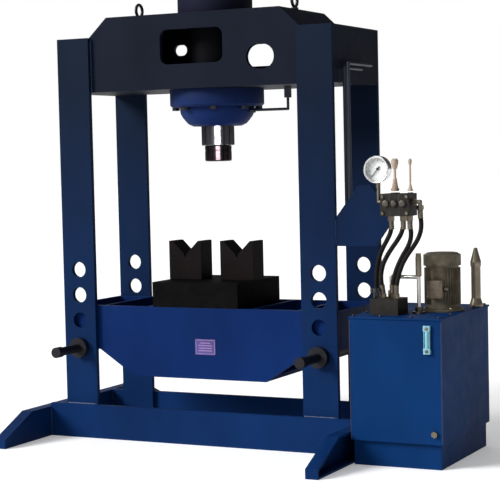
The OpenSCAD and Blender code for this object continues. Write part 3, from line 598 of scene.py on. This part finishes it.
def motor():
    """Finned motor case on its flange, with the terminal box and its cable gland."""
    low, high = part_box("motor_body")
    lid_top, top = low.z, high.z
    tall = top - lid_top
    rotor = middle("motor_rotor")
    axis = (rotor.x, rotor.y)
    build = Build()
    build.lathe([(0.100, 0), (0.100, 0.010), (0.098, 0.012), (0.080, 0.013), (0.079, 0.030), (0.0775, 0.034),
                 (0.0775, tall - 0.004), (0.082, tall - 0.003), (0.082, tall)],
                (*axis, lid_top), sides=64)
    fins, front_angle, clear_of_box = 40, 270, 24
    for k in range(fins):
        a = 2 * math.pi * k / fins
        if abs((math.degrees(a) - front_angle + 180) % 360 - 180) < clear_of_box:
            continue
        out, side = Vector((math.cos(a), math.sin(a), 0)), Vector((-math.sin(a), math.cos(a), 0))
        base = Vector((*axis, 0))
        profile = [(0.074, 0.0016), (0.085, 0.0011), (0.0862, 0.0006)]
        points = []
        for z in (lid_top + 0.034, top - 0.012):
            for r, s in profile:
                points.append(base + out * r + side * s + Vector((0, 0, z)))
            for r, s in reversed(profile):
                points.append(base + out * r - side * s + Vector((0, 0, z)))
        around = 2 * len(profile)
        build.add(points, caps(1, around) + band(0, 1, around))
    front = low.y
    x, z = axis[0], lid_top + 0.110
    for half_x, half_z, y0, y1 in ((0.036, 0.040, 0, 0.040), (0.0385, 0.0425, -0.004, 0.004)):
        build.box((x - half_x, front + y0, z - half_z), (x + half_x, front + y1, z + half_z), 1)
    for sx in (-1, 1):
        for sz in (-1, 1):
            build.lathe([(0.0035, 0.0), (0.0035, 0.0025), (0.002, 0.0032)],
                        (x + sx * 0.031, front - 0.004, z + sz * 0.035), ALONG_FRONT, 10, 2)
            build.lathe([(0.0085, 0), (0.0085, 0.007), (0.007, 0.009)],
                        (axis[0] + sx * 0.063, axis[1] + sz * 0.063, lid_top + 0.012), sides=6, mark=2)
    build.lathe([(0.011, 0), (0.011, 0.010), (0.009, 0.012), (0.009, 0.020), (0.0075, 0.022)],
                (x + 0.036, front + 0.020, z), ALONG_X, 12, 2)
    made = build.made("motor_case", "frame", "motor_paint", [MOTOR, TERMINAL, ZINC], 0.0006)
    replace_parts(made, "motor_body")


def sight_gauge():
    """Level gauge: two end blocks with their screws, a back plate, a clear tube and its two guards."""
    low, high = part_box("level_gauge")
    x, back = (low.x + high.x) / 2, high.y
    build = Build()
    for z in (low.z, high.z - 0.026):
        build.box((low.x, low.y, z), (high.x, back, z + 0.026), 0)
        build.lathe([(0.009, 0), (0.009, 0.003), (0.0075, 0.005)], (x, low.y, z + 0.013), ALONG_FRONT, 6, 1)
    build.box((x - 0.0135, back - 0.004, low.z + 0.020), (x + 0.0135, back, high.z - 0.020), 0)
    tube_y = back - 0.011
    build.lathe([(0.0085, 0), (0.0085, high.z - low.z - 0.044)], (x, tube_y, low.z + 0.022), sides=24)
    for side in (-1, 1):
        build.box((x + side * 0.0125 - 0.0015, back - 0.016, low.z + 0.022),
                  (x + side * 0.0125 + 0.0015, back, high.z - 0.022), 0)
    made = build.made("sight_gauge", "frame", "sight_plastic", [SIGHT, ZINC], 0.0008)
    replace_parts(made, "level_gauge")


def lid_bolts():
    """Screws along the lid's edge."""
    low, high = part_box("tank_lid")
    wide, deep = high.x - low.x, high.y - low.y
    build = Build()
    inset, across, head = 0.020, 0.013, 0.008
    rows = 5
    for i in range(rows):
        y = low.y + inset + i * (deep - 2 * inset) / (rows - 1)
        for x in (low.x + inset, high.x - inset):
            hexagon_head(build, (x, y, high.z), across, head)
    for x in (low.x + wide / 3, low.x + 2 * wide / 3):
        for y in (low.y + inset, high.y - inset):
            hexagon_head(build, (x, y, high.z), across, head)
    build.made("lid_screws", "frame", "black_steel", [BOLT])


def valve_details():
    """Section lines, cap screws and end caps of the lever valve."""
    low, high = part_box("valve_body")
    top = high.z - 0.004
    build = Build()
    for x in (low.x + 0.047, low.x + 0.094):
        build.box((x - 0.0012, low.y - 0.0010, low.z + 0.002), (x + 0.0012, low.y + 0.004, top - 0.002), 1)
    for x in (low.x + 0.012, high.x - 0.012):
        for z in (low.z + 0.014, top - 0.014):
            build.lathe([(0.0075, 0), (0.0075, 0.007), (0.0065, 0.008), (0.004, 0.008), (0.004, 0.004)],
                        (x, low.y, z), ALONG_FRONT, 16, 0)
    for k, x in enumerate((low.x + 0.030, low.x + 0.070, low.x + 0.112)):
        build.lathe([(0.016, 0), (0.016, 0.010), (0.0145, 0.013), (0.007, 0.014)],
                    (x, low.y, low.z + 0.060), ALONG_FRONT, 6 if k == 1 else 24, 2)
    build.made("valve_screws", "frame", "zinc_steel", [ZINC, INK, VALVE_LIGHT], 0.0004)


def lever_boot():
    """Main lever: a pale bellows boot that narrows to the rod, on its pivot pin."""
    low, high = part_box("valve_lever")
    centre = middle("lever_knob")
    build = Build()
    base = 0.0185
    profile = [(base * 0.9, 0.0), (base, 0.002)]
    for k in range(7):
        z, r = 0.004 + k * 0.0075, base - 0.0004 - k * 0.0013
        profile += [(r - 0.0022, z), (r, z + 0.003), (r - 0.0002, z + 0.0045)]
    profile += [(0.0068, 0.060), (0.0060, 0.062), (0.0060, high.z - low.z)]
    build.lathe(profile, (centre.x, centre.y, low.z), sides=28)
    pivot_z = low.z + 0.008
    build.lathe([(0.0035, 0), (0.0045, 0.001), (0.0045, 0.0405), (0.0035, 0.0415)],
                (centre.x - 0.02075, centre.y, pivot_z), ALONG_X, 16, 1)
    made = build.made("lever_boot", "lever", "bright_steel", [GRIP, ZINC])
    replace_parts(made, "valve_lever")


lever_boot()
motor()
sight_gauge()
lid_bolts()
valve_details()


# ---------------------------------------------------------------- ram


def ram():
    """Polished rod and its turned nose, with eased ends; the nose has its tool bore and two grooves."""
    # The rod's and the nose's materials carry painted dark reflection in their near-black colours
    for node, slot, material, ease_r in (("ram_rod", "ram_chrome", CHROME_PAINTED_DARK, 0.004),
                                         ("ram_nose", "black_steel", NOSE_PAINTED_DARK, 0.006)):
        low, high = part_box(node)
        centre = middle(node)
        r = (high.x - low.x) / 2
        build = Build()
        profile = [(r - ease_r, 0.0), (r - ease_r * 0.3, ease_r * 0.3), (r, ease_r), (r, ease_r + 0.001)]
        if node == "ram_nose":
            bore = 0.011
            profile = [(bore, 0.025), (bore, 0.0015), (bore + 0.0015, 0.0)] + profile
            for k in range(2):
                z = 0.052 + k * 0.005
                profile += [(r, z - 0.0004), (r, z), (r - 0.0012, z + 0.001), (r - 0.0012, z + 0.0025),
                            (r, z + 0.0035), (r, z + 0.0039)]
        top = high.z - low.z
        profile += [(r, top - 0.004), (r, top - 0.003), (r - 0.003, top)]
        build.lathe(profile, (centre.x, centre.y, low.z), sides=96)
        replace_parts(build.made(node + "_turned", "ram", slot, [material]), node)


ram()

# ---------------------------------------------------------------- frame and bed


def plate_marks():
    """Raised border and blank lines of the bed's plate, with its rivets."""
    low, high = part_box("bed_nameplate")
    front = low.y
    build = Build()

    def mark(x0, z0, x1, z1):
        build.box((x0, front - RAISED, z0), (x1, front, z1))

    margin, border = 0.004, 0.0025
    left, right, bottom, top = low.x + margin, high.x - margin, low.z + margin, high.z - margin
    mark(left, bottom, right, bottom + border)
    mark(left, top - border, right, top)
    mark(left, bottom, left + border, top)
    mark(right - border, bottom, right, top)
    for k, share in enumerate((0.55, 0.72, 0.66, 0.72)):
        z = top - 0.016 - k * 0.013
        half = (right - left) * share / 2
        mid = (left + right) / 2
        mark(mid - half, z - 0.0022, mid + half, z + 0.0022)
    for x in (low.x + 0.006, high.x - 0.006):
        for z in (low.z + 0.006, high.z - 0.006):
            build.lathe([(0.0028, 0), (0.0024, 0.0012), (0.0012, 0.0018)], (x, front, z), ALONG_FRONT, 12, 1)
    build.made("plate_marks", "bed", "plate_aluminium", [PLATE_MARK, ZINC], smooth=False)


# Heights of the bracket's seam on its upright, and of the tank's plinth
BRACKET_SEAM = (1.016, 1.146)
PLINTH = 0.125


def welds():
    """Beads where plates meet: uprights on beams and crown, beams on feet, bracket, tank's corners."""
    build = Build()
    for side in ("left", "right"):
        for face, out in (("front", -1), ("rear", 1)):
            low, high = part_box(f"upright_{face}_{side}")
            beam_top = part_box(f"base_beam_{face}")[1].z
            outer_y, inner_y = (low.y, high.y) if out < 0 else (high.y, low.y)
            build.bead((low.x + 0.004, outer_y, beam_top), (high.x - 0.004, outer_y, beam_top), 0.0055,
                       (0, out, 1))
            crown_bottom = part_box(f"crown_{face}_plate")[0].z
            x, inward = (high.x, 1) if side == "left" else (low.x, -1)
            build.bead((x, inner_y, crown_bottom + 0.004), (x, inner_y, high.z - 0.004), 0.005,
                       (inward, out, 0))
    for side in ("left", "right"):
        foot_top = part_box(f"foot_{side}")[1].z
        for beam in ("base_beam_front", "base_beam_rear"):
            low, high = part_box(beam)
            x, inward = (low.x, 1) if side == "left" else (high.x, -1)
            for y, out in ((low.y, -1), (high.y, 1)):
                build.bead((x, y, 0.006), (x, y, min(high.z, foot_top) - 0.003), 0.0045, (inward, out, 0))
    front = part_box("valve_bracket")[0].y
    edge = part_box("upright_front_right")[1].x
    bottom, top = BRACKET_SEAM
    build.bead((edge, front, bottom), (edge, front, top), 0.0045, (1, -1, 0))
    low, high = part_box("tank")
    for x, out in ((low.x, -1), (high.x, 1)):
        build.bead((x, low.y, low.z + PLINTH), (x, low.y, high.z - 0.004), 0.003, (out, -1, 0))
    build.made("weld_beads", "frame", "blue_paint", [WELD])


def bed_welds():
    """Beads where the bed's cross plates meet its side plates."""
    build = Build()
    front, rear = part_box("bed_front_plate")[1].y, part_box("bed_rear_plate")[0].y
    low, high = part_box("bed_cross_members")
    plate, deep = 0.012, 0.18
    for x, inward in ((low.x + plate, 1), (high.x - plate, -1)):
        for y, out in ((front, 1), (rear, -1)):
            build.bead((x, y, high.z - deep), (x, y, high.z - 0.004), 0.005, (inward, out, 0))
    build.made("bed_weld_beads", "bed", "blue_paint", [WELD])


plate_marks()
welds()
bed_welds()


# ---------------------------------------------------------------- stage, light and camera


def floor():
    """Plain pale floor."""
    m = Material("studio_floor", (0.90, 0.90, 0.90), 0.9, Specular_IOR_Level=0.0)
    m.shader.inputs["Emission Color"].default_value = (1, 1, 1, 1)
    m.shader.inputs["Emission Strength"].default_value = 0.22
    m.tint(m.noise(1.5, 3), 0.01)
    mesh = bpy.data.meshes.new("studio_floor")
    half = 60
    corners = [(-half, -half, 0), (half, -half, 0), (half, half, 0), (-half, half, 0)]
    mesh.from_pydata(corners, [], [(0, 1, 2, 3)])
    mesh.materials.append(m.data)
    obj = bpy.data.objects.new("studio_floor", mesh)
    bpy.context.scene.collection.objects.link(obj)


# Towards the softbox in front of the press, and the cosines of the angles from it between which it fades out
SOFTBOX = Vector((0.12, -0.98, 0.10))
SOFTBOX_EDGE = (0.88, 0.955)


def world(white, ambient, softbox):
    """White surroundings that light the object dimly, but for one softbox in front."""
    made = bpy.data.worlds.new("studio")
    made.use_nodes = True
    tree = made.node_tree
    shown = tree.nodes["Background"]
    shown.inputs["Color"].default_value = (1, 1, 1, 1)
    shown.inputs["Strength"].default_value = white
    dim = tree.nodes.new("ShaderNodeBackground")
    dim.inputs["Color"].default_value = (0.93, 0.96, 1.0, 1)
    place = tree.nodes.new("ShaderNodeTexCoord")
    towards = tree.nodes.new("ShaderNodeVectorMath")
    towards.operation = "DOT_PRODUCT"
    towards.inputs[1].default_value = SOFTBOX.normalized()
    tree.links.new(place.outputs["Generated"], towards.inputs[0])
    edge = tree.nodes.new("ShaderNodeMapRange")
    for key, value in zip(("From Min", "From Max", "To Min", "To Max"), (*SOFTBOX_EDGE, ambient, softbox)):
        edge.inputs[key].default_value = value
    tree.links.new(towards.outputs["Value"], edge.inputs["Value"])
    tree.links.new(edge.outputs["Result"], dim.inputs["Strength"])
    rays = tree.nodes.new("ShaderNodeLightPath")
    mix = tree.nodes.new("ShaderNodeMixShader")
    tree.links.new(rays.outputs["Is Camera Ray"], mix.inputs["Fac"])
    tree.links.new(dim.outputs["Background"], mix.inputs[1])
    tree.links.new(shown.outputs["Background"], mix.inputs[2])
    tree.links.new(mix.outputs["Shader"], tree.nodes["World Output"].inputs["Surface"])
    bpy.context.scene.world = made


def sun(name, towards, strength, angle):
    """A soft distant light that shines in this direction."""
    data = bpy.data.lights.new(name, "SUN")
    data.energy = strength
    data.angle = math.radians(angle)
    obj = bpy.data.objects.new(name, data)
    obj.rotation_mode = "QUATERNION"
    obj.rotation_quaternion = Vector(towards).to_track_quat("-Z", "Y")
    bpy.context.scene.collection.objects.link(obj)


def strip_light(towards, strength, angle, receivers):
    """A light that only these objects receive, for the streak down polished rods."""
    sun("strip", towards, strength, angle)
    lit = bpy.data.collections.new("strip_receivers")
    for obj in receivers:
        lit.objects.link(obj)
    bpy.data.objects["strip"].light_linking.receiver_collection = lit


def camera():
    """Eye-level view from the front right, at the reference's angle."""
    yaw, pitch, roll = (math.radians(a) for a in (26.55, -3.51, -1.29))
    ahead = Vector((-math.sin(yaw) * math.cos(pitch), math.cos(yaw) * math.cos(pitch), math.sin(pitch)))
    right = Vector((math.cos(yaw), math.sin(yaw), 0))
    up = right.cross(ahead)
    right, up = right * math.cos(roll) + up * math.sin(roll), up * math.cos(roll) - right * math.sin(roll)
    data = bpy.data.cameras.new("camera")
    data.lens, data.sensor_width = 114.18, 36
    data.clip_end = 200
    obj = bpy.data.objects.new("camera", data)
    obj.matrix_world = Matrix.Translation(at(3.8177, -7.2997, 1.4705)) @ Matrix(
        [(right[i], up[i], -ahead[i]) for i in range(3)]).to_4x4()
    bpy.context.scene.collection.objects.link(obj)
    bpy.context.scene.camera = obj


floor()
world(1.0, 0.065, 0.92)
sun("key", (0.60, 0.64, -0.48), 4.0, 25)
sun("rim", (0.55, -0.75, -0.60), 0.4, 40)
sun("top", (0.05, 0.10, -1.0), 0.8, 60)
strip_light((-0.40, 0.91, -0.03), 14.0, 34,
            [bpy.data.objects[name] for name in ("ram_rod_turned", "ram_nose_turned")])
camera()
bpy.context.scene.view_settings.view_transform = "Standard"
